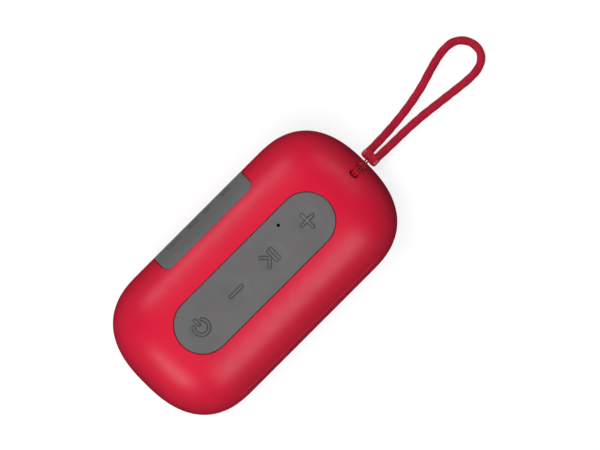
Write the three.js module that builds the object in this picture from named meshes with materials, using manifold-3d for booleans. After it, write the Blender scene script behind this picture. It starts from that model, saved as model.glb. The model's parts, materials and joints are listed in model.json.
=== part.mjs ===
// Portable loudspeaker: a soft, pillow-shaped housing with a key pad on top, a grille in front,
// a rubber port cover behind and a wrist lanyard at one end.
//
// Millimetres. +X points to the lanyard end, +Y to the port cover, +Z up.
// The origin is under the middle of the housing, on the surface that the speaker stands on.

import * as THREE from 'three';
import { mergeVertices } from 'three/addons/utils/BufferGeometryUtils.js';
import Module from 'manifold-3d';

const wasm = await Module();
wasm.setup();

// ---------------------------------------------------------------------------------------------
// Driving dimensions
// ---------------------------------------------------------------------------------------------

const LENGTH = 160;       // housing, end to end
const DEPTH = 83.7;       // housing, front to back
const HEIGHT = 76;        // housing alone, without the base pad under it
const STAND_OFF = 2;      // how far the base pad lifts the housing
const STRAIGHT = 43.5;    // half of the stretch whose cross-section stays the same
const ROUNDNESS = 2.5;    // power of the skin's curves: 2 is an ellipse, more is squarer
const WALL = 2.5;         // housing wall
const GAP = 0.3;          // clearance between neighbouring pieces
const REACH = 100;        // longer than any piece, for cutting tools

const MID_Z = STAND_OFF + HEIGHT / 2;
const SEAM_Z = MID_Z - 10;          // where the upper and lower shells meet

const PAD = { length: 104, width: 29.4, flange: 2, flangeLow: MID_Z + 31, flangeHigh: MID_Z + 32.8 };
const KEY = { radius: 8.25, dish: 0.8, pitch: 25.5, ridge: 0.45, stroke: 0.8 };
const MIC = { x: 25.6, y: 8.7, radius: 0.9 };   // the small hole between the play and plus keys
const BOARD_TOP = MID_Z + 24.8;     // upper face of the key circuit board
const BOARD = 1.6;                  // thickness of every circuit board

const COVER = { width: 62.5, low: MID_Z - 5, high: MID_Z + 28, corner: 4, thick: 2.2 };
const PORT_Z = MID_Z + 5;           // height of the sockets' centre line
const PORT_MOUTH_Y = 38.2;          // where the sockets end
const PANEL = 1.8;                  // plate behind the cover, with the sockets' windows

const GRILLE = { width: 124, height: 34, corner: 15, thick: 1.2 };
const BAFFLE = { width: 132, height: 50, corner: 21, front: -31.5, back: -29 };
const DRIVER = { x: 38, radius: 20, cone: 15.2, front: -33.3 };
const RADIATOR = { width: 16, height: 26, surround: 5 };

const POST = { x: 64, y: 14, radius: 3.5 };
const BASE_PAD = { length: 96, width: 26, high: STAND_OFF + 1.2 };

const HOLE_RADIUS = 2.5;            // the two lanyard holes
const HOLE_SPACING = 8.7;
const BRIDGE = { x: 74, z: MID_Z + 24.7, lean: 0.5834 };   // lean: radians that the holes' axis points up
const STRING = 0.9;                 // lanyard string, diameter
const CORD = 4.4;                   // lanyard cord, diameter

// ---------------------------------------------------------------------------------------------
// Solids
// ---------------------------------------------------------------------------------------------

/** Six times the signed volume that a triangle list encloses; positive when its faces point out. */
function signedVolume(points, faces) {
  const corner = (index) => new THREE.Vector3().fromArray(points, 3 * index);
  let sum = 0;
  for (let i = 0; i < faces.length; i += 3) {
    const [a, b, c] = [faces[i], faces[i + 1], faces[i + 2]].map(corner);
    sum += a.dot(b.cross(c));
  }
  return sum;
}

/** A closed three.js geometry as a solid that can be joined and cut. */
function solid(geometry) {
  const bare = geometry.clone();
  bare.deleteAttribute('normal');
  bare.deleteAttribute('uv');
  const merged = mergeVertices(bare, 1e-4);
  const vertProperties = new Float32Array(merged.attributes.position.array);
  const all = Array.from(merged.index.array);
  const triVerts = [];
  for (let i = 0; i < all.length; i += 3) {
    const [a, b, c] = all.slice(i, i + 3);
    if (a !== b && b !== c && c !== a) triVerts.push(a, b, c);
  }
  if (signedVolume(vertProperties, triVerts) < 0) triVerts.reverse();
  const mesh = new wasm.Mesh({ numProp: 3, vertProperties, triVerts: new Uint32Array(triVerts) });
  mesh.merge();
  return new wasm.Manifold(mesh);
}

/** A solid back as a geometry. */
function toGeometry(body) {
  const mesh = body.getMesh();
  const geometry = new THREE.BufferGeometry();
  geometry.setAttribute('position', new THREE.BufferAttribute(new Float32Array(mesh.vertProperties), 3));
  geometry.setIndex(new THREE.BufferAttribute(new Uint32Array(mesh.triVerts), 1));
  geometry.computeVertexNormals();
  return geometry;
}

/** One height of the skin's curve: 1 in the middle, 0 where the share of the half width reaches 1. */
function curveShare(...shares) {
  const used = shares.reduce((sum, share) => sum + Math.abs(share) ** ROUNDNESS, 0);
  return Math.max(0, 1 - used) ** (1 / ROUNDNESS);
}

/** The housing's skin, moved inwards by inset: a squared ball, pulled apart to a straight middle. */
function pillow(inset, around = 32, along = 17) {
  const geometry = new THREE.SphereGeometry(1, around, along);
  geometry.rotateZ(Math.PI / 2);
  const place = geometry.attributes.position;
  const point = new THREE.Vector3();
  for (let i = 0; i < place.count; i++) {
    point.fromBufferAttribute(place, i);
    const size = [point.x, point.y, point.z].reduce((sum, v) => sum + Math.abs(v) ** ROUNDNESS, 0);
    point.divideScalar(size ** (1 / ROUNDNESS));
    place.setXYZ(
      i,
      Math.sign(point.x) * STRAIGHT + point.x * (LENGTH / 2 - STRAIGHT - inset),
      point.y * (DEPTH / 2 - inset),
      MID_Z + point.z * (HEIGHT / 2 - inset),
    );
  }
  return solid(geometry);
}

/** How far back (+Y) the skin is at height z, in the straight stretch. */
function skinY(z, inset = 0) {
  return (DEPTH / 2 - inset) * curveShare((z - MID_Z) / (HEIGHT / 2 - inset));
}

/** An upright or lying rectangle with round corners, centred on (x, y). */
function roundedOutline(width, height, radius, x = 0, y = 0) {
  const [right, top] = [width / 2 - radius, height / 2 - radius];
  const shape = new THREE.Shape();
  shape.absarc(x + right, y + top, radius, 0, Math.PI / 2);
  shape.absarc(x - right, y + top, radius, Math.PI / 2, Math.PI);
  shape.absarc(x - right, y - top, radius, Math.PI, 1.5 * Math.PI);
  shape.absarc(x + right, y - top, radius, 1.5 * Math.PI, 2 * Math.PI);
  return shape;
}

/** An outline in X and Y, filled from one height to another. */
function slabUp(shape, low, high, curveSegments = 3) {
  const settings = { depth: high - low, bevelEnabled: false, curveSegments };
  const geometry = new THREE.ExtrudeGeometry(shape, settings);
  return solid(geometry.translate(0, 0, low));
}

/** An outline in X and Z, filled from y = front to y = back. */
function slabBack(shape, front, back, curveSegments = 3) {
  const settings = { depth: back - front, bevelEnabled: false, curveSegments };
  const geometry = new THREE.ExtrudeGeometry(shape, settings);
  return solid(geometry.rotateX(Math.PI / 2).translate(0, back, 0));
}

/** A box given by its lowest and highest corners. */
function block(low, high) {
  const [from, to] = [new THREE.Vector3(...low), new THREE.Vector3(...high)];
  const size = to.clone().sub(from);
  const middle = from.add(to).divideScalar(2);
  return solid(new THREE.BoxGeometry(size.x, size.y, size.z).translate(middle.x, middle.y, middle.z));
}

/** A round bar between two points. */
function rod(from, to, radius, sides = 16) {
  const [start, end] = [new THREE.Vector3(...from), new THREE.Vector3(...to)];
  const span = end.clone().sub(start);
  const geometry = new THREE.CylinderGeometry(radius, radius, span.length(), sides);
  const up = new THREE.Vector3(0, 1, 0);
  const turn = new THREE.Quaternion().setFromUnitVectors(up, span.clone().normalize());
  const middle = start.add(end).divideScalar(2);
  return solid(geometry.applyQuaternion(turn).translate(middle.x, middle.y, middle.z));
}

/** A ring or disc turned about the Y axis through (x, z), from [radius, y] points. */
function turned(profile, x = 0, z = MID_Z, sides = 20) {
  const points = profile.map(([radius, y]) => new THREE.Vector2(radius, y));
  return solid(new THREE.LatheGeometry(points, sides).translate(x, 0, z));
}

/** A round tube along a smooth curve through the points. */
function tube(points, diameter, sides, steps) {
  const section = new THREE.Shape();
  section.absarc(0, 0, diameter / 2, 0, 2 * Math.PI);
  const path = new THREE.CatmullRomCurve3(points.map((point) => new THREE.Vector3(...point)));
  return solid(new THREE.ExtrudeGeometry(section, { extrudePath: path, steps, curveSegments: sides / 2 }));
}

const INNER_FACETS = [24, 11];        // the inner faces need fewer facets than the skin

const skin = pillow(0);
const cavity = pillow(WALL, ...INNER_FACETS);
const room = pillow(WALL + GAP, ...INNER_FACETS);      // where inner pieces may be, clear of the wall

// ---------------------------------------------------------------------------------------------
// Materials and nodes
// ---------------------------------------------------------------------------------------------

function paint(color, roughness, metalness = 0) {
  return new THREE.MeshStandardMaterial({ color, roughness, metalness });
}

const paints = {
  housing: paint(0xc91a36, 0.45),
  grille: paint(0xb3182f, 0.5, 0.3),
  silicone: paint(0x6f6e6e, 0.75),
  rubber: paint(0x2b2b2c, 0.85),
  plastic: paint(0x2f3033, 0.6),
  steel: paint(0xb9bcc0, 0.35, 1),
  magnet: paint(0x55585c, 0.5, 0.8),
  paper: paint(0x26262a, 0.85),
  board: paint(0x1f5c3a, 0.55),
  chip: paint(0x17181a, 0.5),
  cell: paint(0x2c5f9e, 0.4),
  cloth: paint(0x1a1a1c, 0.95),
  lead: paint(0x8c1420, 0.5),
  bead: paint(0xb91c2d, 0.35),
  braid: paint(0xa31d34, 0.8),
};

const speaker = new THREE.Group();

function add(name, body, material) {
  const mesh = new THREE.Mesh(toGeometry(body), material);
  mesh.name = name;
  speaker.add(mesh);
}

const corners = [[1, 1], [-1, 1], [-1, -1], [1, -1]];
const keyPlaces = { power: -1.5, minus: -0.5, play: 0.5, plus: 1.5 };
const keyX = (name) => keyPlaces[name] * KEY.pitch;

// ---------------------------------------------------------------------------------------------
// Housing: upper and lower shells, gasket, screws and base pad
// ---------------------------------------------------------------------------------------------

function stadium(length, width) {
  return roundedOutline(length, width, width / 2);
}

function coverOutline(grow) {
  const height = COVER.high - COVER.low + 2 * grow;
  const middle = (COVER.high + COVER.low) / 2;
  return roundedOutline(COVER.width + 2 * grow, height, COVER.corner + grow, 0, middle);
}

function grilleOutline(grow) {
  const [width, height] = [GRILLE.width + 2 * grow, GRILLE.height + 2 * grow];
  return roundedOutline(width, height, GRILLE.corner + grow, 0, MID_Z);
}

/** The direction out of the lanyard holes, and the direction from the upper hole to the lower one. */
const holeOut = new THREE.Vector3(Math.cos(BRIDGE.lean), 0, Math.sin(BRIDGE.lean));
const holeDown = new THREE.Vector3(Math.sin(BRIDGE.lean), 0, -Math.cos(BRIDGE.lean));

/** A point by the bridge between the holes: along towards the lower hole, out of the wall, and y. */
function bridgePoint(along, out, y = 0) {
  const point = new THREE.Vector3(BRIDGE.x, y, BRIDGE.z);
  return point.addScaledVector(holeDown, along).addScaledVector(holeOut, out).toArray();
}

function lanyardHoles() {
  const [upper, lower] = [-HOLE_SPACING / 2, HOLE_SPACING / 2].map((along) =>
    rod(bridgePoint(along, -10), bridgePoint(along, 10), HOLE_RADIUS, 20));
  return upper.add(lower);
}

function upperShell() {
  let shell = skin.subtract(cavity);
  shell = shell.intersect(block([-REACH, -REACH, SEAM_Z + GAP / 2], [REACH, REACH, REACH]));
  shell = shell.subtract(slabUp(stadium(PAD.length + 2 * GAP, PAD.width + 2 * GAP), MID_Z + 20, REACH));
  shell = shell.subtract(slabBack(coverOutline(GAP), 15, REACH));
  shell = shell.subtract(slabBack(grilleOutline(0), -REACH, -15));
  shell = shell.subtract(lanyardHoles());
  for (const [sideX, sideY] of corners) {
    const [x, y] = [sideX * POST.x, sideY * POST.y];
    const post = rod([x, y, SEAM_Z + GAP / 2], [x, y, REACH], POST.radius).intersect(pillow(WALL / 2));
    shell = shell.add(post);
    shell = shell.subtract(rod([x, y, 0], [x, y, SEAM_Z + 11], 1.8, 12));
  }
  return shell;
}

function lowerShell() {
  let shell = skin.subtract(cavity);
  shell = shell.intersect(block([-REACH, -REACH, 0], [REACH, REACH, SEAM_Z - GAP / 2]));
  shell = shell.subtract(slabBack(grilleOutline(0), -REACH, -15));
  const pocket = stadium(BASE_PAD.length + 2 * GAP, BASE_PAD.width + 2 * GAP);
  shell = shell.subtract(slabUp(pocket, 0, BASE_PAD.high + GAP));
  for (const [sideX, sideY] of corners) {
    const [x, y] = [sideX * POST.x, sideY * POST.y];
    const boss = rod([x, y, 0], [x, y, SEAM_Z - GAP / 2], POST.radius + 1).intersect(pillow(WALL / 2));
    shell = shell.add(boss);
    shell = shell.subtract(rod([x, y, 0], [x, y, SEAM_Z - 6], 3.2, 16));
    shell = shell.subtract(rod([x, y, 0], [x, y, SEAM_Z + 1], 1.8, 12));
  }
  return shell;
}

function seamGasket() {
  const ring = room.subtract(pillow(WALL + GAP + 1.2, ...INNER_FACETS));
  return ring.intersect(block([-REACH, -27, SEAM_Z - 2], [REACH, REACH, SEAM_Z + 2]));
}

/** A pan-head screw that stands in the lower shell's boss and bites in the upper shell's post. */
function screw(x, y) {
  const headTop = SEAM_Z - 6 - GAP;
  const head = rod([x, y, headTop - 2.2], [x, y, headTop], 2.8);
  const shank = rod([x, y, headTop - 1], [x, y, SEAM_Z + 10], 1.5, 12);
  const slot = block([x - 2, y - 0.4, headTop - 3], [x + 2, y + 0.4, headTop - 1.3]);
  const cross = block([x - 0.4, y - 2, headTop - 3], [x + 0.4, y + 2, headTop - 1.3]);
  return head.add(shank).subtract(slot).subtract(cross);
}

function basePad() {
  const pad = slabUp(stadium(BASE_PAD.length, BASE_PAD.width), 0, BASE_PAD.high);
  const groove = slabUp(stadium(BASE_PAD.length - 8, BASE_PAD.width - 8), -1, 0.6);
  const inner = slabUp(stadium(BASE_PAD.length - 10, BASE_PAD.width - 10), -2, 1);
  return pad.subtract(groove.subtract(inner));
}

add('upper_shell', upperShell(), paints.housing);
add('lower_shell', lowerShell(), paints.housing);
add('seam_gasket', seamGasket(), paints.rubber);
add('base_pad', basePad(), paints.silicone);
corners.forEach(([sideX, sideY], index) => {
  add(`shell_screw_${index + 1}`, screw(sideX * POST.x, sideY * POST.y), paints.steel);
});

// ---------------------------------------------------------------------------------------------
// Key pad: silicone pad, four dished keys, switches and their circuit board
// ---------------------------------------------------------------------------------------------

/** The hollow above a key's dish: a shallow bowl under a tall cylinder. */
function dishTool(x) {
  const rim = KEY.radius + 1;
  const floor = MID_Z + HEIGHT / 2 - KEY.dish;
  const rise = (radius) => KEY.dish * (radius / KEY.radius) ** 2;
  const profile = [[0, floor]];
  for (let step = 1; step <= 2; step++) {
    const radius = (rim * step) / 2;
    profile.push([radius, floor + rise(radius)]);
  }
  profile.push([rim, floor + 5], [0, floor + 5]);
  const points = profile.map(([radius, z]) => new THREE.Vector2(radius, z));
  return solid(new THREE.LatheGeometry(points, 24).rotateX(Math.PI / 2).translate(x, 0, 0));
}

/** A straight stroke between two points, as an outline. */
function stroke(fromX, fromY, toX, toY) {
  const half = KEY.stroke / 2;
  const angle = Math.atan2(toY - fromY, toX - fromX);
  const shape = new THREE.Shape();
  shape.absarc(toX, toY, half, angle - Math.PI / 2, angle + Math.PI / 2);
  shape.absarc(fromX, fromY, half, angle + Math.PI / 2, angle + 1.5 * Math.PI);
  return shape;
}

/** An arc of the power sign: a ring that stays open on the +Y side. */
function openRing(x, y, radius, opening) {
  const [start, end] = [Math.PI / 2 + opening, Math.PI / 2 - opening + 2 * Math.PI];
  const shape = new THREE.Shape();
  shape.absarc(x, y, radius + KEY.stroke / 2, start, end, false);
  shape.absarc(x, y, radius - KEY.stroke / 2, end, start, true);
  return shape;
}

const signs = {
  power: [openRing(-0.2, -0.3, 3.95, 0.78), stroke(-0.3, 1.5, -0.3, 4.3)],
  minus: [stroke(-4.2, 0, 3.6, 0)],
  play: [
    stroke(-5.2, 3.4, -1.8, 0),
    stroke(-5.2, -3.4, -1.8, 0),
    stroke(0, -3.3, 0, 2.9),
    stroke(1.6, -3.3, 1.6, 2.9),
  ],
  plus: [stroke(-4, 0, 3.4, 0), stroke(-0.45, -4.3, -0.45, 3.9)],
};

function key(name) {
  const x = keyX(name);
  const low = PAD.flangeLow + 0.5;
  const blank = rod([x, 0, low], [x, 0, REACH], KEY.radius - GAP, 24).intersect(skin);
  const raised = blank.subtract(dishTool(x).translate([0, 0, KEY.ridge]));
  let cap = blank.subtract(dishTool(x));
  for (const sign of signs[name]) {
    cap = cap.add(slabUp(sign, low + 1, REACH).translate([x, 0, 0]).intersect(raised));
  }
  return cap.add(rod([x, 0, BOARD_TOP + 5], [x, 0, low + 0.5], 2.5));
}

function keypad() {
  let pad = slabUp(stadium(PAD.length, PAD.width), PAD.flangeLow, REACH, 5).intersect(skin);
  const flange = stadium(PAD.length + 2 * PAD.flange, PAD.width + 2 * PAD.flange);
  pad = pad.add(slabUp(flange, PAD.flangeLow, PAD.flangeHigh).intersect(room));
  for (const name of Object.keys(keyPlaces)) {
    pad = pad.subtract(rod([keyX(name), 0, 0], [keyX(name), 0, REACH], KEY.radius, 24));
  }
  return pad.subtract(rod([MIC.x, MIC.y, 0], [MIC.x, MIC.y, REACH], MIC.radius, 12));
}

/** A square tactile switch with a round well for its plunger. */
function keySwitch(x) {
  const low = BOARD_TOP + GAP;
  const body = block([x - 3, -3, low], [x + 3, 3, low + 3.4]);
  return body.subtract(rod([x, 0, low + 0.9], [x, 0, REACH], 2, 16));
}

function plunger(x) {
  return rod([x, 0, BOARD_TOP + 2.2], [x, 0, BOARD_TOP + 4.7], 1.7, 12);
}

add('keypad', keypad(), paints.silicone);
for (const name of Object.keys(keyPlaces)) {
  add(`key_${name}`, key(name), paints.silicone);
  add(`switch_${name}`, keySwitch(keyX(name)), paints.chip);
  add(`plunger_${name}`, plunger(keyX(name)), paints.plastic);
}
add('key_board', slabUp(roundedOutline(98, 24, 3), BOARD_TOP - BOARD, BOARD_TOP), paints.board);
const micLow = [MIC.x - 2, MIC.y - 1.5, BOARD_TOP + GAP];
const micHigh = [MIC.x + 2, MIC.y + 1.5, BOARD_TOP + 1.5];
add('microphone', block(micLow, micHigh), paints.chip);

// ---------------------------------------------------------------------------------------------
// Front: grille, cloth, baffle, two drivers and a passive radiator
// ---------------------------------------------------------------------------------------------

function radiatorOutline(grow) {
  const [width, height] = [RADIATOR.width + 2 * grow, RADIATOR.height + 2 * grow];
  return roundedOutline(width, height, width / 2 - 0.01, 0, MID_Z);
}

function grille() {
  const layer = skin.subtract(pillow(GRILLE.thick));
  return layer.intersect(slabBack(grilleOutline(-GAP), -REACH, -15));
}

function grilleCloth() {
  const outside = pillow(GRILLE.thick + 2 * GAP, ...INNER_FACETS);
  const layer = outside.subtract(pillow(GRILLE.thick + 2 * GAP + 0.4, ...INNER_FACETS));
  return layer.intersect(slabBack(grilleOutline(-1), -REACH, -15));
}

function baffle() {
  const outline = roundedOutline(BAFFLE.width, BAFFLE.height, BAFFLE.corner, 0, MID_Z);
  let plate = slabBack(outline, BAFFLE.front, BAFFLE.back).intersect(room);
  for (const side of [-1, 1]) {
    const x = side * DRIVER.x;
    plate = plate.subtract(rod([x, -REACH, MID_Z], [x, 0, MID_Z], DRIVER.radius - 1.7, 28));
  }
  return plate.subtract(slabBack(radiatorOutline(1), -REACH, 0));
}

function basket(x) {
  const back = BAFFLE.back + 10;
  return turned([
    [16.2, DRIVER.front], [DRIVER.radius, DRIVER.front], [DRIVER.radius, BAFFLE.front - GAP],
    [18, BAFFLE.front - GAP], [13.5, back], [5.8, back], [5.8, back - 1.2], [12.4, back - 1.2],
    [16.2, DRIVER.front + 1.5], [16.2, DRIVER.front],
  ], x);
}

function magnet(x) {
  const [front, back] = [BAFFLE.back + 10 + GAP, BAFFLE.back + 18];
  return turned([[0, front], [13, front], [13, back], [0, back], [0, front]], x);
}

/** The rubber half roll between the cone's edge and the basket's rim. */
function surround(x) {
  const [inner, outer] = [DRIVER.cone + GAP, DRIVER.radius - 0.8];
  const base = DRIVER.front - GAP;
  const [middle, half] = [(inner + outer) / 2, (outer - inner) / 2];
  const roll = (radius) => Array.from({ length: 4 }, (_, step) => {
    const angle = (Math.PI * step) / 3;
    return [middle + Math.cos(angle) * radius, base - 0.5 - Math.sin(angle) * radius];
  });
  const outside = roll(half);
  const inside = roll(half - 0.5).reverse();
  return turned([...outside, [inner, base], [inner + 0.5, base], ...inside, [outer - 0.5, base],
    [outer, base], outside[0]], x);
}

function cone(x) {
  const [rim, throat] = [DRIVER.front + 0.2, BAFFLE.back + 4];
  return turned([
    [DRIVER.cone, rim], [DRIVER.cone, rim + 0.8], [5.2, throat], [5.2, throat + 3.6],
    [4.6, throat + 3.6], [4.6, throat - 0.4], [DRIVER.cone - 0.8, rim], [DRIVER.cone, rim],
  ], x);
}

function dustCap(x) {
  const [radius, base, rise] = [6, BAFFLE.back + 2.3, 2.5];
  const dome = Array.from({ length: 5 }, (_, step) => {
    const angle = (Math.PI / 2) * (step / 4);
    return [radius * Math.cos(angle), base - rise * Math.sin(angle)];
  });
  dome[4][0] = 0;
  return turned([[0, base], ...dome, [0, base]], x);
}

function radiatorSurround() {
  const outer = slabBack(radiatorOutline(RADIATOR.surround), DRIVER.front, BAFFLE.front - GAP);
  const roll = slabBack(radiatorOutline(RADIATOR.surround - 1.2), DRIVER.front - 0.8, DRIVER.front + 0.4);
  return outer.add(roll).subtract(slabBack(radiatorOutline(GAP), -REACH, 0));
}

function radiatorPlate() {
  const plate = slabBack(radiatorOutline(0), DRIVER.front + 0.3, DRIVER.front + 1.3);
  return plate.add(slabBack(radiatorOutline(-4), DRIVER.front - 0.3, DRIVER.front + 0.6));
}

add('grille', grille(), paints.grille);
add('grille_cloth', grilleCloth(), paints.cloth);
add('baffle', baffle(), paints.plastic);
for (const [side, x] of [['left', -DRIVER.x], ['right', DRIVER.x]]) {
  add(`driver_basket_${side}`, basket(x), paints.steel);
  add(`driver_magnet_${side}`, magnet(x), paints.magnet);
  add(`driver_surround_${side}`, surround(x), paints.rubber);
  add(`driver_cone_${side}`, cone(x), paints.paper);
  add(`driver_dust_cap_${side}`, dustCap(x), paints.paper);
}
add('radiator_surround', radiatorSurround(), paints.rubber);
add('radiator_plate', radiatorPlate(), paints.plastic);

// ---------------------------------------------------------------------------------------------
// Back: port cover, port panel, sockets and main circuit board
// ---------------------------------------------------------------------------------------------

const MAIN_BOARD_Y = 24;
const ports = {
  charge: { x: -18.5, width: 9, height: 3.6, plug: [5.4, 1.2] },
  audio: { x: -5.5, width: 6.6, height: 6.6, plug: [2, 2] },
  card: { x: 5.5, width: 12, height: 3 },
  usb: { x: 20.5, width: 13.2, height: 6.2 },
};

/** A box centred on a port, grown by grow, from one depth to another. */
function portBlock({ x, width, height }, grow, front, back) {
  return block([x - width / 2 - grow, front, PORT_Z - height / 2 - grow],
    [x + width / 2 + grow, back, PORT_Z + height / 2 + grow]);
}

/** A rubber plug on the cover that just enters a socket's mouth. */
function portPlug({ x, plug: [width, height] }) {
  return block([x - width / 2, PORT_MOUTH_Y - 0.5, PORT_Z - height / 2],
    [x + width / 2, skinY(PORT_Z, 1), PORT_Z + height / 2]);
}

function portCover() {
  const layer = skin.subtract(pillow(COVER.thick));
  let cover = layer.intersect(slabBack(coverOutline(0), 15, REACH));
  cover = cover.add(portPlug(ports.charge));
  cover = cover.add(portPlug(ports.audio));
  const pull = block([-7, skinY(COVER.high) - 4, COVER.high - 2.6], [7, REACH, COVER.high - 1.8]);
  return cover.subtract(pull.intersect(pillow(-1).subtract(pillow(0.6))));
}

function portPanel() {
  const layer = room.subtract(pillow(WALL + GAP + PANEL, ...INNER_FACETS));
  let panel = layer.intersect(slabBack(coverOutline(2), 15, REACH));
  for (const port of Object.values(ports)) {
    panel = panel.subtract(portBlock(port, GAP + 0.1, 20, REACH));
  }
  return panel;
}

function usbSocket() {
  const port = ports.usb;
  const shell = portBlock(port, 0, MAIN_BOARD_Y + GAP, PORT_MOUTH_Y);
  const hollow = portBlock(port, -0.5, MAIN_BOARD_Y + 2, REACH);
  const tongueLow = [port.x - 5.5, MAIN_BOARD_Y + 1, PORT_Z + 0.2];
  const tongueHigh = [port.x + 5.5, PORT_MOUTH_Y - 2, PORT_Z + 2];
  return shell.subtract(hollow).add(block(tongueLow, tongueHigh));
}

function slotSocket(port, wall, depth) {
  const body = portBlock(port, 0, MAIN_BOARD_Y + GAP, PORT_MOUTH_Y);
  return body.subtract(portBlock(port, -wall, PORT_MOUTH_Y - depth, REACH));
}

function audioSocket() {
  const port = ports.audio;
  const body = portBlock(port, 0, MAIN_BOARD_Y + GAP, PORT_MOUTH_Y);
  return body.subtract(rod([port.x, PORT_MOUTH_Y - 11, PORT_Z], [port.x, REACH, PORT_Z], 1.8, 16));
}

function boardChip(x, z, width, height) {
  const back = MAIN_BOARD_Y - BOARD - GAP;
  return block([x - width / 2, back - 1.4, z - height / 2], [x + width / 2, back, z + height / 2]);
}

add('port_cover', portCover(), paints.silicone);
add('port_panel', portPanel(), paints.plastic);
add('usb_socket', usbSocket(), paints.steel);
add('card_socket', slotSocket(ports.card, 0.8, 10), paints.steel);
add('charge_socket', slotSocket(ports.charge, 0.6, 5), paints.steel);
add('audio_socket', audioSocket(), paints.plastic);
add('main_board', slabBack(roundedOutline(92, 44, 3, 0, MID_Z + 2), MAIN_BOARD_Y - BOARD, MAIN_BOARD_Y),
  paints.board);
add('radio_module', boardChip(-26, MID_Z + 12, 18, 13), paints.steel);
add('amplifier_chip', boardChip(22, MID_Z, 9, 9), paints.chip);

// ---------------------------------------------------------------------------------------------
// Inside: battery, its cradle and the leads
// ---------------------------------------------------------------------------------------------

const CELL = { length: 65, radius: 9.15, y: 3, z: 24 };

function battery() {
  const half = CELL.length / 2;
  const can = rod([-half, CELL.y, CELL.z], [half, CELL.y, CELL.z], CELL.radius, 28);
  return can.add(rod([half - 1, CELL.y, CELL.z], [half + 1.5, CELL.y, CELL.z], 3.2));
}

function batteryCradle() {
  const saddle = block([-30, -8, 4], [30, 14, CELL.z - 4]).intersect(room);
  const bed = rod([-REACH, CELL.y, CELL.z], [REACH, CELL.y, CELL.z], CELL.radius + GAP, 28);
  const relief = block([-22, -REACH, CELL.z - 8], [22, REACH, CELL.z]);
  return saddle.subtract(bed).subtract(relief);
}

function driverLead(side) {
  const x = side * (DRIVER.x - 8);
  const boardFace = MAIN_BOARD_Y - BOARD - GAP;
  return tube([
    [x, BAFFLE.back + 18 + 2 * GAP, MID_Z + 5], [x, -7, MID_Z + 5], [x, 6, MID_Z + 8],
    [x, 16, MID_Z - 4], [x, boardFace - GAP, MID_Z - 5],
  ], 2, 8, 9);
}

function batteryLead() {
  const end = CELL.length / 2 + 1.5 + 2 * GAP;
  const boardFace = MAIN_BOARD_Y - BOARD - GAP;
  return tube([
    [end, CELL.y, CELL.z], [end + 5, CELL.y + 2, CELL.z], [end + 6, 14, CELL.z + 1],
    [end + 3, boardFace - GAP, CELL.z + 3],
  ], 2, 8, 8);
}

/** The flat ribbon from the key board down to the main board. */
function keyRibbon() {
  const [low, high] = [MID_Z + 18, BOARD_TOP - BOARD - GAP];
  const boardFace = MAIN_BOARD_Y - BOARD - GAP;
  const across = block([-6, 9, high - 0.4], [6, boardFace, high]);
  return across.add(block([-6, boardFace - 0.4, low], [6, boardFace, high]));
}

add('battery', battery(), paints.cell);
add('battery_cradle', batteryCradle(), paints.plastic);
add('driver_lead_left', driverLead(-1), paints.lead);
add('driver_lead_right', driverLead(1), paints.lead);
add('battery_lead', batteryLead(), paints.lead);
add('key_ribbon', keyRibbon(), paints.cloth);

// ---------------------------------------------------------------------------------------------
// Lanyard: cup behind the bridge, string, bead and cord
// ---------------------------------------------------------------------------------------------

/** A box by the bridge: half size along the holes' line, half width in Y, and its span outwards. */
function bridgeBlock(halfAlong, halfY, from, to) {
  const geometry = new THREE.BoxGeometry(to - from, 2 * halfY, 2 * halfAlong);
  geometry.translate((from + to) / 2, 0, 0).rotateY(-BRIDGE.lean).translate(BRIDGE.x, 0, BRIDGE.z);
  return solid(geometry);
}

/** The closed cup that lets the string pass behind the bridge and keeps the housing tight. */
function lanyardCup() {
  const outer = bridgeBlock(8.6, 4.8, -9, 0).intersect(room);
  return outer.subtract(bridgeBlock(7.4, 3.6, -7.8, 2));
}

// One half of the string, back side: from the bight in front of the lower hole, behind the bridge,
// out of the upper hole, over the bridge, down the end of the housing and into the bead.
const STRING_ROUTE = [
  [78.0, 0.3, 62.2], [77.9, 1.2, 61.9], [76.6, 1.8, 61.2], [74.9, 1.8, 60.1], [72.6, 1.6, 60.2],
  [70.6, 1.4, 62.6], [68.9, 1.1, 65.6], [69.6, 0.8, 67.4], [71.6, 0.7, 68.4], [73.2, 0.7, 67.9],
  [74.9, 0.7, 65.3], [77.3, 0.7, 61.7], [78.9, 0.7, 57.0], [80.2, 0.7, 50.0], [80.6, 0.7, 41.0],
  [80.3, 0.7, 28.0], [79.8, 0.7, 14.0], [79.5, 0.7, 6.0], [80.3, 0.7, 3.3], [82.4, 0.7, 2.8],
];

// The cord's loop, lying on the surface that the speaker stands on.
const CORD_ROUTE = [
  [86.9, 2.7], [97.7, 2.9], [108.0, 3.7], [118.0, 5.0], [128.5, 7.2], [136.5, 9.6], [144.0, 11.6],
  [150.0, 12.5], [155.4, 12.0], [159.4, 9.7], [162.1, 5.8], [162.9, 1.6], [161.9, -2.3],
  [158.8, -5.5], [154.2, -7.1], [148.0, -7.3], [140.0, -6.5], [128.5, -5.1], [118.0, -3.9],
  [108.0, -3.2], [97.7, -3.0], [86.9, -2.7],
];

const BEAD = { low: 81.2, high: 86.6, radius: 2.6, y: 2.4, z: 2.8 };

function lanyardString(side) {
  return tube(STRING_ROUTE.map(([x, y, z]) => [x, side * y, z]), STRING, 8, 33);
}

function lanyardCord() {
  return tube(CORD_ROUTE.map(([x, y]) => [x, y, CORD / 2 + 0.05]), CORD, 10, 16);
}

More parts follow.
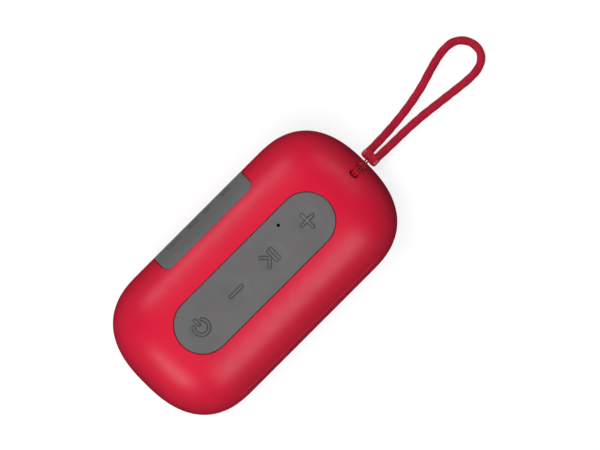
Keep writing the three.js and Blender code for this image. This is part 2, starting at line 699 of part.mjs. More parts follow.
/** Two barrels side by side with soft edges, and a slot for the string. */
function lanyardBead() {
  const soft = 0.9;
  const profile = [[0, BEAD.low], [BEAD.radius - soft, BEAD.low], [BEAD.radius, BEAD.low + soft],
    [BEAD.radius, BEAD.high - soft], [BEAD.radius - soft, BEAD.high], [0, BEAD.high], [0, BEAD.low]];
  const points = profile.map(([radius, x]) => new THREE.Vector2(radius, x));
  const turnedBarrel = new THREE.LatheGeometry(points, 16).rotateZ(-Math.PI / 2);
  const barrel = (y) => solid(turnedBarrel.clone().translate(0, y, BEAD.z));
  const slot = block([BEAD.low - 1, -1.5, BEAD.z - 0.8], [BEAD.low + 1.9, 1.5, BEAD.z + 0.8]);
  const waist = block([BEAD.low, -1.5, BEAD.z - 1.9], [BEAD.high, 1.5, BEAD.z + 1.9]);
  return barrel(-BEAD.y).add(barrel(BEAD.y)).add(waist).subtract(slot);
}

add('lanyard_cup', lanyardCup(), paints.plastic);
add('lanyard_string_back', lanyardString(1), paints.braid);
add('lanyard_string_front', lanyardString(-1), paints.braid);
add('lanyard_bead', lanyardBead(), paints.bead);
add('lanyard_cord', lanyardCord(), paints.braid);

export default speaker;
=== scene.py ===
"""The portable speaker's looks: camera, light, lanyard, housing, keys, cover, grille and materials.

Everything is in metres in the frame's own axes: +X points to the lanyard end, +Y to the port cover,
+Z up, and the speaker stands on Z = 0.
"""

import json
import math

import bmesh
import bpy
import numpy as np
from mathutils import Euler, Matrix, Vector
from mathutils.geometry import delaunay_2d_cdt


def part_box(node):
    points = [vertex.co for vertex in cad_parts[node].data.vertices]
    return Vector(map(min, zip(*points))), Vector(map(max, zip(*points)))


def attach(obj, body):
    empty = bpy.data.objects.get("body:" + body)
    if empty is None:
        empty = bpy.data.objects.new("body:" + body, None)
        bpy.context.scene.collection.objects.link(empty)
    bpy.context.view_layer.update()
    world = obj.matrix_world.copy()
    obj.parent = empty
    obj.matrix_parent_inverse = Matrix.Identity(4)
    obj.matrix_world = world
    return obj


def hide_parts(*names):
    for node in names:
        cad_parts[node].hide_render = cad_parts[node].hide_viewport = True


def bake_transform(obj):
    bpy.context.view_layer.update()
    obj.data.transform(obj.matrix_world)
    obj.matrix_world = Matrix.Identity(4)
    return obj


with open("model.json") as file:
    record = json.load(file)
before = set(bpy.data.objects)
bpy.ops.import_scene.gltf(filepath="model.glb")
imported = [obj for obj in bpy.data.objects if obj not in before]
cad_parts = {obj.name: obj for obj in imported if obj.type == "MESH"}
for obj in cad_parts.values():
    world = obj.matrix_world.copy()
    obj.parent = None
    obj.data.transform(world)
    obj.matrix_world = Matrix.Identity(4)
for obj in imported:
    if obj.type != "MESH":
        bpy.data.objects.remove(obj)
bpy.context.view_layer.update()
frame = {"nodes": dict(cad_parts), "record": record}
MM = 0.001

# ---- Sizes, worked out from the frame ----


def node_box(name):
    """A CAD node's low corner, high corner and size."""
    low, high = (np.array(corner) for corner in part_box(name))
    return low, high, high - low


UPPER_LOW, UPPER_HIGH = node_box("upper_shell")[:2]
LOWER_HIGH = node_box("lower_shell")[1]
BASE_HIGH, BASE_SIZE = node_box("base_pad")[1:]
PAD_LOW = node_box("keypad")[0]
GRILLE_SIZE = node_box("grille")[2]
COVER_LOW, COVER_HIGH, COVER_SIZE = node_box("port_cover")
BEAD_LOW, BEAD_HIGH, BEAD_SIZE = node_box("lanyard_bead")

HALF_LENGTH = UPPER_HIGH[0]  # housing, half of its length, depth and height
HALF_DEPTH = 41.85 * MM
HALF_HEIGHT = 38 * MM
MID_Z = 40 * MM  # height of the housing's widest level
STRAIGHT = 43.5 * MM  # half of the stretch whose section stays the same
POWER = 2.5  # of the skin's curves: 2 is an ellipse
WALL = 2.5 * MM  # thickness of the housing
GAP = 0.3 * MM  # between pieces that meet in the surface
SEAM_Z = (UPPER_LOW[2] + LOWER_HIGH[2]) / 2

PAD_LENGTH = 104 * MM
PAD_WIDTH = 29.4 * MM
KEY_RADIUS = 8.25 * MM
KEY_NAMES = ("power", "minus", "play", "plus")
KEY_X = {name: float((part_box("key_" + name)[0][0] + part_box("key_" + name)[1][0]) / 2) for name in KEY_NAMES}
KEY_FLOOR = MID_Z + HALF_HEIGHT - 0.8 * MM  # height of the flat floor in a key's dish
MIC_HOLE = (25.6 * MM, 8.7 * MM, 0.9 * MM)  # x, y and radius

COVER_CORNER = 4 * MM
GRILLE_CORNER = 15 * MM

STRING = 0.9 * MM  # the string's and the cord's diameters
CORD = 4.4 * MM
FLOOR_Z = -0.1 * MM  # just under the standing pad and the cord

# ---- Camera: straight above, turned so that the lanyard end points to the upper right ----

CAMERA_HEIGHT = 5.0
FRAME_WIDTH = 0.3071  # what the picture's width covers at the housing's middle
SENSOR = 36.0
TURN = math.radians(-45)
AIM = Vector((0.0335, 0.0010, MID_Z))  # the point in the picture's middle


def make_camera():
    data = bpy.data.cameras.new("camera")
    data.sensor_width = SENSOR
    data.lens = SENSOR * CAMERA_HEIGHT / FRAME_WIDTH
    data.clip_start = 0.1
    data.clip_end = 20
    camera = bpy.data.objects.new("camera", data)
    camera.location = AIM + Vector((0, 0, CAMERA_HEIGHT))
    camera.rotation_euler = Euler((0, 0, TURN))
    bpy.context.scene.collection.objects.link(camera)
    bpy.context.scene.camera = camera


make_camera()

# ---- Small helpers: meshes and node materials ----


def mesh_object(name, points, faces, material=None, smooth=True, sharp=None):
    """A new object; sharp, if given, is the angle in degrees from which an edge stays sharp."""
    mesh = bpy.data.meshes.new(name)
    mesh.from_pydata([tuple(point) for point in points], [], [tuple(face) for face in faces])
    mesh.validate()
    if smooth:
        mesh.shade_smooth()
    if sharp:
        mesh.set_sharp_from_angle(angle=math.radians(sharp))
    if material:
        mesh.materials.append(material)
    piece = bpy.data.objects.new(name, mesh)
    bpy.context.scene.collection.objects.link(piece)
    return piece


def face_outward(piece, weld=0.0):
    """Turns a closed mesh's faces outward, after doubled and unused vertices are gone."""
    bm = bmesh.new()
    bm.from_mesh(piece.data)
    if weld:
        bmesh.ops.remove_doubles(bm, verts=bm.verts, dist=weld)
    unused = [vertex for vertex in bm.verts if not vertex.link_faces]
    bmesh.ops.delete(bm, geom=unused, context="VERTS")
    bmesh.ops.recalc_face_normals(bm, faces=bm.faces)
    bm.to_mesh(piece.data)
    bm.free()


def tube_faces(rings, sides, closed=False):
    """Faces between each ring of points and the next; a closed tube ends where it starts."""
    faces = []
    for ring in range(rings if closed else rings - 1):
        low, high = ring * sides, (ring + 1) % rings * sides
        for i in range(sides):
            j = (i + 1) % sides
            faces.append((low + i, low + j, high + j, high + i))
    return faces


def solid_between(low_ring, high_ring):
    """A closed solid between two rings of points, as a tool for cutting."""
    count = len(low_ring)
    faces = [tuple(range(count)), tuple(range(2 * count - 1, count - 1, -1))]
    faces += [(i, i + count, (i + 1) % count + count, (i + 1) % count) for i in range(count)]
    tool = mesh_object("tool", low_ring + high_ring, faces, smooth=False)
    face_outward(tool)
    return tool


NOISE_LOW, NOISE_HIGH = 0.3, 0.7  # most values of a noise lie between these


class Nodes:
    """A principled material that grows node by node."""

    def __init__(self, name, color, roughness=0.5, metallic=0.0):
        self.material = bpy.data.materials.new(name)
        self.material.use_nodes = True
        self.tree = self.material.node_tree
        self.shader = self.tree.nodes["Principled BSDF"]
        self.set("Base Color", (*color, 1))
        self.set("Roughness", roughness)
        self.set("Metallic", metallic)

    def set(self, socket, value):
        self.shader.inputs[socket].default_value = value

    def new(self, kind, **values):
        """Adds a node; each value goes to the input of that name, or else to the setting."""
        node = self.tree.nodes.new("ShaderNode" + kind)
        for key, value in values.items():
            if key in node.inputs:
                node.inputs[key].default_value = value
            else:
                setattr(node, key, value)
        return node

    def link(self, source, target):
        self.tree.links.new(source, target)

    def place(self, source="Object", scale=(1, 1, 1)):
        """Coordinates for textures: the object's own, in metres, or its UV map."""
        coordinates = self.new("TexCoord")
        mapping = self.new("Mapping", Scale=scale)
        self.link(coordinates.outputs[source], mapping.inputs["Vector"])
        return mapping.outputs["Vector"]

    def noise(self, scale, detail=3.0, roughness=0.55, vector=None):
        texture = self.new("TexNoise", Scale=scale, Detail=detail, Roughness=roughness)
        self.link(vector or self.place(), texture.inputs["Vector"])
        return texture.outputs["Fac"]

    def ramp(self, source, stops):
        """Maps a value to colours; stops are (place, colour)."""
        node = self.new("ValToRGB")
        ramp = node.color_ramp
        while len(ramp.elements) < len(stops):
            ramp.elements.new(0.5)
        for element, (place, color) in zip(ramp.elements, stops):
            element.position = place
            element.color = (*color, 1)
        self.link(source, node.inputs["Fac"])
        return node.outputs["Color"]

    def span(self, source, low, high):
        """Maps a noise's value to the span low to high."""
        node = self.new("MapRange", **{"From Min": NOISE_LOW, "From Max": NOISE_HIGH,
                                       "To Min": low, "To Max": high})
        self.link(source, node.inputs["Value"])
        return node.outputs["Result"]

    def math(self, operation, first, second=0.0):
        node = self.new("Math", operation=operation)
        for socket, value in zip(node.inputs, (first, second)):
            if isinstance(value, (int, float)):
                socket.default_value = value
            else:
                self.link(value, socket)
        return node.outputs["Value"]

    def bump(self, height, strength, distance):
        """Adds a bump on top of those already there."""
        node = self.new("Bump", Strength=strength, Distance=distance)
        self.link(height, node.inputs["Height"])
        before = self.shader.inputs["Normal"].links
        if before:
            self.link(before[0].from_socket, node.inputs["Normal"])
        self.link(node.outputs["Normal"], self.shader.inputs["Normal"])

    def color(self, source):
        self.link(source, self.shader.inputs["Base Color"])

    def tint(self, source, color, low, high):
        """Varies a colour with a noise's value, from low times the colour to high times it."""
        self.color(self.ramp(source, [(NOISE_LOW, shade(color, low)), (NOISE_HIGH, shade(color, high))]))

    def roughness(self, source):
        self.link(source, self.shader.inputs["Roughness"])


def shade(color, factor):
    return tuple(min(1.0, channel * factor) for channel in color)


# ---- Materials ----

RED = (0.59, 0.0088, 0.036)
GREY = (0.118, 0.114, 0.115)
# The relief value paints a highlight on the keys' raised lines and paints shade in their grooves; on the
# cover's signs it darkens them as ink.
PAINTED_LIGHT_AND_INK_TINT = 0.3  # how far relief moves the silicone's tone


def grained(name, color, roughness, tone, polish, *grains, coat=(0, 0.03)):
    """A material made of noises, each (scale, detail) or (scale, detail, roughness).

    tone varies the colour and polish the roughness, both as (noise, low, high); each grain is a
    bump as (noise, strength, distance); coat is the clear coat's weight and roughness.
    """
    m = Nodes(name, color, roughness)
    m.set("Coat Weight", coat[0])
    m.set("Coat Roughness", coat[1])
    m.tint(m.noise(*tone[0]), color, *tone[1:])
    m.roughness(m.span(m.noise(*polish[0]), *polish[1:]))
    for noise, strength, distance in grains:
        m.bump(m.noise(*noise), strength, distance)
    return m.material


def silicone():
    """Matt silicone: a spark-eroded grain, slightly cloudy, with a soft sheen at grazing angles.

    A mesh may carry the attribute relief: 1 on raised lines, where it paints a highlight, and negative in
    grooves, where it paints shade, and on inked signs, where it is print.
    """
    m = Nodes("silicone", GREY, 0.6)
    m.set("Sheen Weight", 0.12)
    m.set("Sheen Roughness", 0.5)
    relief = m.new("Attribute", attribute_name="relief").outputs["Fac"]
    # Relief above 0 is a painted highlight on the keys' sign crests; below 0 it is painted shade in their
    # grooves and ink on the cover's signs.
    tone = m.math("ADD", m.noise(70, 3), m.math("MULTIPLY", relief, PAINTED_LIGHT_AND_INK_TINT))
    m.color(m.ramp(tone, [(0.0, shade(GREY, 0.38)), (NOISE_LOW, shade(GREY, 0.94)),
                          (NOISE_HIGH, shade(GREY, 1.05)), (0.95, shade(GREY, 1.4))]))
    m.roughness(m.span(m.noise(1500, 3), 0.55, 0.68))
    m.bump(m.noise(3800, 4, 0.7), 0.22, 0.00005)
    return m.material


def moulded_plastic(name, color, roughness=0.5):
    """Injection-moulded black plastic with a fine etched texture."""
    m = Nodes(name, color, roughness)
    cells = m.new("TexVoronoi", Scale=1700)
    m.link(m.place(), cells.inputs["Vector"])
    m.tint(m.noise(90, 3), color, 0.85, 1.2)
    m.roughness(m.span(m.noise(700, 4), roughness - 0.08, roughness + 0.1))
    m.bump(cells.outputs["Distance"], 0.25, 0.00006)
    return m.material


def metal(name, color, roughness=0.32, stretch=(1, 1, 30)):
    """Metal with fine drawn or brushed lines along one axis and uneven polish."""
    m = Nodes(name, color, roughness, 1.0)
    lines = m.noise(260, 3, 0.6, m.place(scale=stretch))
    m.tint(lines, color, 0.86, 1.06)
    m.roughness(m.span(m.noise(400, 4), roughness - 0.08, roughness + 0.12))
    m.bump(lines, 0.12, 0.00003)
    return m.material


def circuit_board():
    """Green solder mask over copper tracks."""
    color = (0.010, 0.085, 0.035)
    m = Nodes("circuit_board", color, 0.34)
    m.set("Coat Weight", 0.3)
    tracks = m.new("TexBrick", offset=0.37, squash=1.6, squash_frequency=3, Scale=420,
                   Color1=(*color, 1), Color2=(*shade(color, 0.72), 1),
                   Mortar=(*shade(color, 1.9), 1), **{"Mortar Size": 0.03})
    m.link(m.place(), tracks.inputs["Vector"])
    m.color(tracks.outputs["Color"])
    m.roughness(m.span(m.noise(600, 3), 0.28, 0.42))
    m.bump(tracks.outputs["Fac"], 0.4, 0.00005)
    return m.material


def printed_sleeve(name, color, roughness=0.36):
    """Shrink-wrapped or extruded thin plastic, faintly wrinkled."""
    m = Nodes(name, color, roughness)
    wrinkles = m.noise(220, 5, 0.6, m.place(scale=(0.35, 1, 1)))
    m.color(m.ramp(wrinkles, [(0.35, shade(color, 0.85)), (0.65, shade(color, 1.12))]))
    m.roughness(m.span(m.noise(500, 3), roughness - 0.08, roughness + 0.1))
    m.bump(wrinkles, 0.25, 0.0001)
    return m.material


def acoustic_cloth():
    """Black woven cloth: threads over and under in X and Z."""
    color = (0.010, 0.010, 0.011)
    m = Nodes("acoustic_cloth", color, 0.95)
    waves = []
    for direction in ("X", "Z"):
        wave = m.new("TexWave", bands_direction=direction, Scale=340, Distortion=0.6)
        m.link(m.place(), wave.inputs["Vector"])
        waves.append(wave.outputs["Fac"])
    weave = m.math("MULTIPLY", waves[0], waves[1])
    m.color(m.ramp(weave, [(0.1, shade(color, 0.4)), (0.8, shade(color, 2.4))]))
    m.set("Sheen Weight", 0.3)
    m.bump(weave, 0.8, 0.0002)
    return m.material


def braid(name, color, dark, yarns_along, yarns_round):
    """Braided yarn: the mesh carries the braid's shape, and this adds filaments, shade and fuzz."""
    m = Nodes(name, color, 0.72)
    m.set("Specular IOR Level", 0.25)
    m.set("Sheen Weight", 0.05)
    m.set("Sheen Roughness", 0.4)
    place = m.place("UV", (yarns_round, yarns_along, 1))
    filaments = m.noise(9, 4, 0.7, place)
    blotch = m.noise(140, 3)
    tone = m.math("ADD", m.math("MULTIPLY", filaments, 0.6), m.math("MULTIPLY", blotch, 0.4))
    m.color(m.ramp(tone, [(0.30, dark), (0.62, color)]))
    m.roughness(m.span(filaments, 0.62, 0.82))
    m.bump(filaments, 0.5, 0.00012)
    return m.material


MATERIALS = {
    # Satin lacquer: faint flow marks, fine orange peel and dust-fine specks
    "housing": grained("housing_paint", RED, 0.38, ((28, 2), 0.95, 1.04), ((160, 4), 0.36, 0.42),
                       ((900, 3), 0.10, 0.00006), ((5200, 2), 0.10, 0.00002)),
    "silicone": silicone(),
    "rubber": grained("black_rubber", (0.018, 0.018, 0.019), 0.72, ((120, 4), 0.8, 1.3),
                      ((900, 4), 0.62, 0.82), ((2600, 5, 0.7), 0.3, 0.00008)),
    # Powder coat: a pebbled satin film
    "grille": grained("grille_coat", shade(RED, 0.85), 0.46, ((240, 4), 0.92, 1.06),
                      ((1300, 3), 0.40, 0.54), ((2400, 2), 0.3, 0.00006), coat=(0.1, 0.35)),
    "plastic": moulded_plastic("black_plastic", (0.024, 0.024, 0.026)),
    "steel": metal("plated_steel", (0.56, 0.57, 0.59)),
    "magnet": metal("ferrite", (0.10, 0.10, 0.11), 0.55),
    # Pressed pulp with loose fibres
    "cone_paper": grained("cone_paper", (0.022, 0.022, 0.025), 0.8, ((500, 6, 0.75), 0.6, 1.7),
                          ((800, 5), 0.7, 0.92), ((1400, 6, 0.8), 0.5, 0.0001)),
    "circuit_board": circuit_board(),
    "chip": moulded_plastic("chip_epoxy", (0.010, 0.010, 0.011), 0.42),
    "cell": printed_sleeve("cell_sleeve", (0.02, 0.085, 0.30)),
    "cloth": acoustic_cloth(),
    "ribbon": printed_sleeve("ribbon_film", (0.32, 0.13, 0.02), 0.3),
    "lead": printed_sleeve("lead_sleeve", (0.30, 0.008, 0.014), 0.42),
    "bead": grained("bead_plastic", (0.54, 0.012, 0.036), 0.3, ((260, 3), 0.88, 1.1),
                    ((900, 3), 0.26, 0.38), ((1500, 3), 0.2, 0.00006), coat=(0.25, 0.2)),
    "braid": braid("cord_braid", (0.46, 0.012, 0.036), (0.22, 0.006, 0.020), 1600, 16),
}
STRING_BRAID = braid("string_braid", (0.52, 0.012, 0.036), (0.26, 0.008, 0.020), 5200, 8)


def dress_frame():
    """Gives each CAD node that stays in view the material of its slot."""
    for row in frame["record"]["subparts"]:
        mesh = frame["nodes"][row["node"]].data
        mesh.materials.clear()
        mesh.materials.append(MATERIALS[row["material_slot"]])


dress_frame()

# ---- Lanyard ----

# One half of the string, in millimetres: from the bight in front of the lower hole, behind the
# bridge, out of the upper hole, over the bridge, down the housing's end and into the bead.
STRING_ROUTE = [
    (78.0, 0.3, 62.2), (77.9, 1.2, 61.9), (76.6, 1.8, 61.2), (74.9, 1.8, 60.1), (72.6, 1.6, 60.2),
    (70.6, 1.4, 62.6), (68.9, 1.1, 65.6), (69.6, 0.8, 67.4), (71.6, 0.7, 68.4), (73.2, 0.7, 67.9),
    (74.9, 0.7, 65.3), (77.3, 0.7, 61.7), (78.9, 0.7, 57.0), (80.2, 0.7, 50.0), (80.6, 0.7, 41.0),
    (80.3, 0.7, 28.0), (79.8, 0.7, 14.0), (79.5, 0.7, 6.0), (80.3, 0.7, 3.3), (82.4, 0.7, 2.8),
]

# The cord's loop, lying on the floor, in millimetres.
CORD_ROUTE = [
    (85.9, 2.6), (97.7, 2.9), (108.0, 3.7), (118.0, 5.0), (128.5, 7.2), (136.5, 9.6), (144.0, 11.6),
    (150.0, 12.5), (155.4, 12.0), (159.4, 9.7), (162.1, 5.8), (162.9, 1.6), (161.9, -2.3),
    (158.8, -5.5), (154.2, -7.1), (148.0, -7.3), (140.0, -6.5), (128.5, -5.1), (118.0, -3.9),
    (108.0, -3.2), (97.7, -3.0), (85.9, -2.6),
]


CURVE_STEPS = 24  # between two given points of a route


def smooth_path(points, step):
    """Points a step apart on a centripetal curve through the given ones, and its length."""
    points = [np.array(point, float) for point in points]
    ends = [2 * points[0] - points[1], 2 * points[-1] - points[-2]]
    knots = [ends[0], *points, ends[1]]
    dense = []
    for before, start, end, after in zip(knots, knots[1:], knots[2:], knots[3:]):
        times = [0.0]
        for first, second in ((before, start), (start, end), (end, after)):
            times.append(times[-1] + np.linalg.norm(second - first) ** 0.5)
        t0, t1, t2, t3 = times
        for t in np.linspace(t1, t2, CURVE_STEPS, endpoint=False):
            a1 = ((t1 - t) * before + (t - t0) * start) / (t1 - t0)
            a2 = ((t2 - t) * start + (t - t1) * end) / (t2 - t1)
            a3 = ((t3 - t) * end + (t - t2) * after) / (t3 - t2)
            b1 = ((t2 - t) * a1 + (t - t0) * a2) / (t2 - t0)
            b2 = ((t3 - t) * a2 + (t - t1) * a3) / (t3 - t1)
            dense.append(((t2 - t) * b1 + (t - t1) * b2) / (t2 - t1))
    dense.append(points[-1])
    dense = np.array(dense)
    along = np.concatenate([[0], np.cumsum(np.linalg.norm(np.diff(dense, axis=0), axis=1))])
    count = max(2, round(along[-1] / step))
    wanted = np.linspace(0, along[-1], count + 1)
    return np.stack([np.interp(wanted, along, dense[:, axis]) for axis in range(3)], axis=1), along[-1]


def braided_tube(name, path, radius, material, yarns, pitch, depth, sides):
    """A closed tube round path whose skin rises and falls as two sets of yarns cross."""
    length = np.concatenate([[0], np.cumsum(np.linalg.norm(np.diff(path, axis=0), axis=1))])
    tangent = np.gradient(path, axis=0)
    tangent /= np.linalg.norm(tangent, axis=1)[:, None]
    side = np.cross(tangent[0], (0, 0, 1.0))
    points, uvs = [], []
    angles = np.linspace(0, 2 * math.pi, sides, endpoint=False)
    for centre, way, far in zip(path, tangent, length):
        side = side - way * side.dot(way)
        side /= np.linalg.norm(side)
        up = np.cross(side, way)
        turns = far / pitch
        for angle in angles:
            first = math.cos(yarns / 2 * angle + 2 * math.pi * turns)
            second = math.cos(yarns / 2 * angle - 2 * math.pi * turns)
            reach = radius + depth * (max(first, second) - 1)
            points.append(centre + reach * (math.cos(angle) * side + math.sin(angle) * up))
            uvs.append((angle / (2 * math.pi), far))
    faces = tube_faces(len(path), sides)
    faces.append(tuple(reversed(range(sides))))
    faces.append(tuple(range(len(points) - sides, len(points))))
    piece = mesh_object(name, points, faces, material)
    layer = piece.data.uv_layers.new(name="UVMap")
    for loop in piece.data.loops:
        layer.data[loop.index].uv = uvs[loop.vertex_index]
    return piece


def lanyard_string(name, side):
    path, length = smooth_path([(x * MM, side * y * MM, z * MM) for x, y, z in STRING_ROUTE], 0.25 * MM)
    piece = braided_tube(name, path, STRING / 2, STRING_BRAID, 8, 2.2 * MM, 0.05 * MM, 24)
    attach(piece, "housing")
    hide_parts(name.replace("cord_", "lanyard_"))
    return piece, path, length


def lanyard_cord():
    points = [(x * MM, y * MM, CORD / 2 + 0.05 * MM) for x, y in CORD_ROUTE]
    path, length = smooth_path(points, 0.32 * MM)
    piece = braided_tube("cord_loop", path, CORD / 2, MATERIALS["braid"], 16, 7 * MM, 0.16 * MM, 80)
    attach(piece, "housing")
    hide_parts("lanyard_cord")
    return piece, path, length


def lanyard_bead():
    """Two lobes side by side, with soft ends and a dimple where the string goes in."""
    middle = (BEAD_LOW + BEAD_HIGH) / 2
    half = BEAD_SIZE / 2
    points = []
    rings, sides = 40, 96
    waist_depth, waist_width = 0.14, 0.28
    dimple_depth, dimple_width = 0.16 * half[0], 0.25
    for ring in range(rings + 1):
        along = -math.cos(math.pi * ring / rings)
        swell = max(0.0, 1 - abs(along) ** 5) ** 0.2
        for i in range(sides):
            angle = 2 * math.pi * i / sides
            y, z = math.cos(angle), math.sin(angle)
            size = (abs(y) ** 4 + abs(z) ** 2.6) ** -0.3
            waist = 1 - waist_depth * math.exp(-(y * size / waist_width) ** 2)
            dimple = dimple_depth * math.exp(-(y * size * swell / dimple_width) ** 2) if along < -0.5 else 0
            points.append(middle + np.array((
                half[0] * along + dimple,
                half[1] * y * min(size, 1.0 / max(abs(y), 1e-6)) * swell,
                half[2] * z * size * swell * waist * 0.97,
            )))
    piece = mesh_object("string_bead", points, tube_faces(rings + 1, sides), MATERIALS["bead"])
    face_outward(piece, weld=1e-6)
    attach(piece, "housing")
    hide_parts("lanyard_bead")
    return piece


bead = lanyard_bead()
strings = [lanyard_string("cord_string_back", 1), lanyard_string("cord_string_front", -1)]
cord_loop, loop_path, loop_length = lanyard_cord()

# ---- The skin: one formula for every piece that follows it ----


def skin_height(x, y, inset=0.0):
    """Height of the skin over (x, y), for the upper half."""
    over = np.maximum(0, np.abs(x) - STRAIGHT) / (HALF_LENGTH - STRAIGHT - inset)
    used = over ** POWER + (np.abs(y) / (HALF_DEPTH - inset)) ** POWER
    return MID_Z + (HALF_HEIGHT - inset) * np.maximum(0, 1 - used) ** (1 / POWER)


def skin_depth(x, z, inset=0.0):
    """How far from the middle plane the skin is, in Y, over (x, z)."""
    over = np.maximum(0, np.abs(x) - STRAIGHT) / (HALF_LENGTH - STRAIGHT - inset)
    used = over ** POWER + (np.abs(z - MID_Z) / (HALF_HEIGHT - inset)) ** POWER
    return (HALF_DEPTH - inset) * np.maximum(0, 1 - used) ** (1 / POWER)


def skin_normal(points):
    """Outward direction of the skin at each point, from the formula's gradient."""
    x, y, z = points[:, 0], points[:, 1], points[:, 2] - MID_Z
    over = np.maximum(0, np.abs(x) - STRAIGHT)
    axes = ((x, over, HALF_LENGTH - STRAIGHT), (y, y, HALF_DEPTH), (z, z, HALF_HEIGHT))
    parts = [np.sign(value) * (np.abs(size) / half) ** (POWER - 1) / half for value, size, half in axes]
    normal = np.stack(parts, axis=1)
    return normal / np.maximum(1e-12, np.linalg.norm(normal, axis=1))[:, None]


def skin_level(points):
    """1 on the skin, less inside."""
    x, y, z = points[:, 0], points[:, 1], points[:, 2] - MID_Z
    over = np.maximum(0, np.abs(x) - STRAIGHT) / (HALF_LENGTH - STRAIGHT)
    used = over ** POWER + (np.abs(y) / HALF_DEPTH) ** POWER + (np.abs(z) / HALF_HEIGHT) ** POWER
    return used ** (1 / POWER)


def pillow_mesh(name, inset, around, rows, stretch):
    """The closed skin at an inset: rings round the X axis, closer together towards the ends.

    A ring has as many points as around says, the round ends take rows rings, the middle stretch.
    """
    spread = [-math.cos(math.pi * i / rows) for i in range(1, rows // 2)]
    stations = [(-STRAIGHT, share) for share in spread]
    stations += [(x, 0.0) for x in np.linspace(-STRAIGHT, STRAIGHT, stretch)]
    stations += [(STRAIGHT, -share) for share in reversed(spread)]
    end, deep, tall = HALF_LENGTH - STRAIGHT - inset, HALF_DEPTH - inset, HALF_HEIGHT - inset
    points, faces = [(-STRAIGHT - end, 0, MID_Z)], []
    for base, share in stations:
        size = max(0.0, 1 - abs(share) ** POWER) ** (1 / POWER)
        for i in range(around):
            angle = 2 * math.pi * i / around
            y, z = math.cos(angle), math.sin(angle)
            fit = size / (abs(y) ** POWER + abs(z) ** POWER) ** (1 / POWER)
            points.append((base + share * end, y * fit * deep, MID_Z + z * fit * tall))
    points.append((STRAIGHT + end, 0, MID_Z))
    last = len(points) - 1
    for i in range(around):
        j = (i + 1) % around
        faces.append((0, 1 + j, 1 + i))
        for ring in range(len(stations) - 1):
            low, high = 1 + ring * around, 1 + (ring + 1) * around
            faces.append((low + i, low + j, high + j, high + i))
        low = 1 + (len(stations) - 1) * around
        faces.append((last, low + i, low + j))
    piece = mesh_object(name, points, faces)
    face_outward(piece)
    return piece


# ---- Outlines, tools and cutting ----

OUTLINE_STEP = 0.8 * MM  # between the points of an outline
SMALLEST_CORNER = 0.01 * MM  # radius that a corner keeps at a deep inset


class Outline:
    """A rectangle with round corners: its ring of points at an inset, and distances to it."""

    def __init__(self, width, height, corner, centre=(0.0, 0.0)):
        self.width, self.height, self.corner, self.centre = width, height, corner, np.array(centre)

    def ring(self, inset=0.0):
        """Points round the outline, counter-clockwise and evenly spread."""
        corner = max(self.corner - inset, SMALLEST_CORNER)
        right, top = (self.width - 2 * inset) / 2 - corner, (self.height - 2 * inset) / 2 - corner
        turns = max(4, round(corner * math.pi / 2 / OUTLINE_STEP))
        points = []
        for quarter, (x, y) in enumerate(((right, top), (-right, top), (-right, -top), (right, -top))):
            for i in range(turns + 1):
                angle = math.pi / 2 * (quarter + i / turns)
                points.append((self.centre[0] + x + corner * math.cos(angle),
                               self.centre[1] + y + corner * math.sin(angle)))
        spread = []
        for start, end in zip(points, points[1:] + points[:1]):
            gap = math.dist(start, end)
            if gap < 1e-7:
                continue
            pieces = max(1, round(gap / OUTLINE_STEP))
            for i in range(pieces):
                share = i / pieces
                spread.append([a + (b - a) * share for a, b in zip(start, end)])
        return np.array(spread)

    def distance(self, points):
        """Negative inside, positive outside."""
        half = np.array((self.width, self.height)) / 2 - self.corner
        gap = np.abs(points - self.centre) - half
        outside = np.linalg.norm(np.maximum(gap, 0), axis=1)
        return outside + np.minimum(gap.max(axis=1), 0) - self.corner


def prism(outline, low, high, to_space):
    """A closed prism over an outline, as a tool; to_space turns (a, b, depth) into a point."""
    return solid_between(*([to_space(a, b, depth) for a, b in outline] for depth in (low, high)))


def up_space(a, b, depth):
    return (a, b, depth)


def back_space(a, b, depth):
    return (a, depth, b)


def cut(piece, tools, operation="DIFFERENCE"):
    """Cuts or joins closed tools into a piece, then throws the tools away."""
    for tool in tools:
        modifier = piece.modifiers.new("cut", "BOOLEAN")
        modifier.operation = operation
        modifier.object = tool
        modifier.solver = "EXACT"
    bpy.context.view_layer.update()
    evaluated = piece.evaluated_get(bpy.context.evaluated_depsgraph_get())
    mesh = bpy.data.meshes.new_from_object(evaluated)
    piece.modifiers.clear()
    old = piece.data
    piece.data = mesh
    bpy.data.meshes.remove(old)
    for tool in tools:
        bpy.data.objects.remove(tool)


SHELL_SHARP = 32  # degrees from which a shell's edge stays sharp
ON_SKIN = 2e-3  # how far a point's level may be from 1
ALONG_SKIN = 0.93  # cosine between a face's direction and the skin's


def smooth_by_skin(piece):
    """Smooth shading that uses the skin's own directions where a face lies on the skin."""
    mesh = piece.data
    mesh.shade_smooth()
    mesh.set_sharp_from_angle(angle=math.radians(SHELL_SHARP))
    points = np.array([vertex.co for vertex in mesh.vertices])
    on_skin = np.abs(skin_level(points) - 1) < ON_SKIN
    ideal = skin_normal(points)
    normals = np.zeros((len(mesh.loops), 3))
    mesh_normals = np.array([corner.vector for corner in mesh.corner_normals])
    for face in mesh.polygons:
        direction = np.array(face.normal)
        for loop_index in face.loop_indices:
            vertex = mesh.loops[loop_index].vertex_index
            fits = on_skin[vertex] and ideal[vertex].dot(direction) > ALONG_SKIN
            normals[loop_index] = ideal[vertex] if fits else mesh_normals[loop_index]
    mesh.normals_split_custom_set([tuple(normal) for normal in normals])


# ---- Housing: two shells with rolled edges round their openings ----

